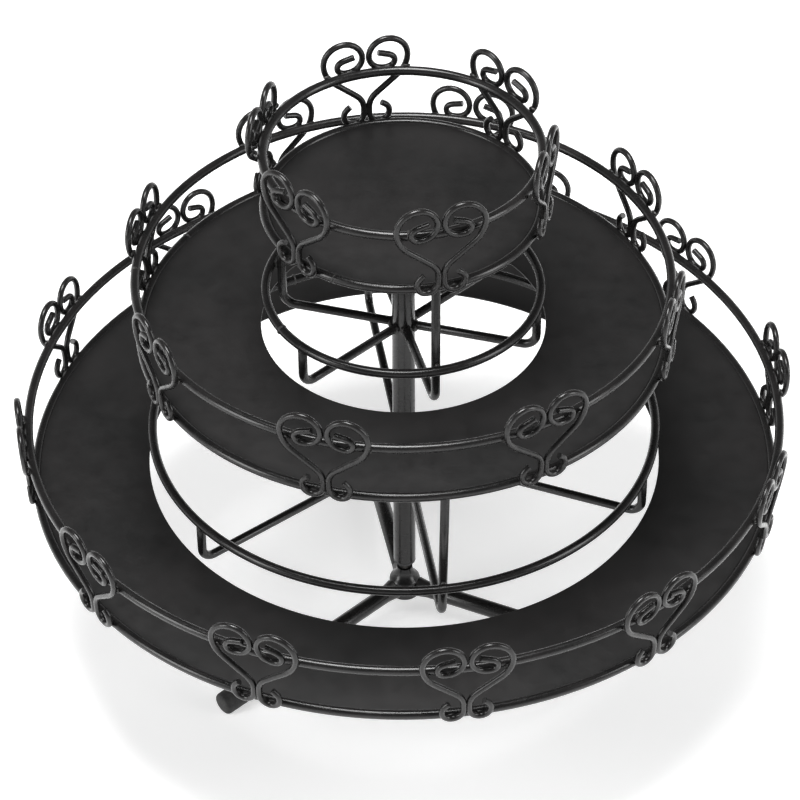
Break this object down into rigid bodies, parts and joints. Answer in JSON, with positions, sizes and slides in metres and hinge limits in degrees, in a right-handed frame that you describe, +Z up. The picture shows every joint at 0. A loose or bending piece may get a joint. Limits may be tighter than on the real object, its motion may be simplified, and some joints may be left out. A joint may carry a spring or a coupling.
{
  "type": "nail polish rack",
  "caption": "Round tiered rack of black coated wire and sheet, with open scroll hearts on its rails, that turns on a low tripod stand to show nail polish bottles.",
  "frame": {"origin": "on the floor, on the vertical axis that the carousel turns about", "axes": "+Z up along the turning axis; +X to the right and +Y to the back as the rack is seen from the front; one leg points 20 degrees to the front of +X"},
  "size_m": [0.388, 0.388, 0.3125],
  "materials": {
    "coated_wire": "semi-gloss black powder coat on steel wire, rod and tube",
    "coated_sheet": "satin black powder coat on steel sheet, slightly textured",
    "plated_spindle": "black oxide plated steel rod",
    "nylon_bearing": "black nylon",
    "rubber_foot": "matt black rubber"
  },
  "bodies": {
    "stand": {"base_hub": "coated_wire", "foot_1": "rubber_foot", "foot_2": "rubber_foot", "foot_3": "rubber_foot", "leg_1": "coated_wire", "leg_2": "coated_wire", "leg_3": "coated_wire", "spindle": "plated_spindle"},
    "carousel": {"bottom_base_wire": "coated_wire", "bottom_guard_ring": "coated_wire", "bottom_heart_01": "coated_wire", "bottom_heart_02": "coated_wire", "bottom_heart_03": "coated_wire", "bottom_heart_04": "coated_wire", "bottom_heart_05": "coated_wire", "bottom_heart_06": "coated_wire", "bottom_heart_07": "coated_wire", "bottom_heart_08": "coated_wire", "bottom_heart_09": "coated_wire", "bottom_heart_10": "coated_wire", "bottom_heart_11": "coated_wire", "bottom_heart_12": "coated_wire", "bottom_outer_rail": "coated_wire", "bottom_shelf": "coated_sheet", "bottom_spoke_1": "coated_wire", "bottom_spoke_2": "coated_wire", "bottom_spoke_3": "coated_wire", "bottom_spoke_4": "coated_wire", "bottom_spoke_5": "coated_wire", "bottom_spoke_6": "coated_wire", "centre_tube": "coated_wire", "lower_bush": "nylon_bearing", "middle_base_wire": "coated_wire", "middle_guard_ring": "coated_wire", "middle_heart_01": "coated_wire", "middle_heart_02": "coated_wire", "middle_heart_03": "coated_wire", "middle_heart_04": "coated_wire", "middle_heart_05": "coated_wire", "middle_heart_06": "coated_wire", "middle_heart_07": "coated_wire", "middle_heart_08": "coated_wire", "middle_outer_rail": "coated_wire", "middle_shelf": "coated_sheet", "middle_spoke_1": "coated_wire", "middle_spoke_2": "coated_wire", "middle_spoke_3": "coated_wire", "middle_spoke_4": "coated_wire", "middle_spoke_5": "coated_wire", "middle_spoke_6": "coated_wire", "pivot_cap": "nylon_bearing", "top_base_wire": "coated_wire", "top_heart_01": "coated_wire", "top_heart_02": "coated_wire", "top_heart_03": "coated_wire", "top_heart_04": "coated_wire", "top_heart_05": "coated_wire", "top_heart_06": "coated_wire", "top_outer_rail": "coated_wire", "top_tray": "coated_sheet"}
  },
  "joints": [
    {"name": "carousel_spin", "type": "hinge", "parent": "stand", "child": "carousel", "pos_m": [0, 0, 0.0156], "axis": [0, 0, 1], "continuous": true}
  ]
}
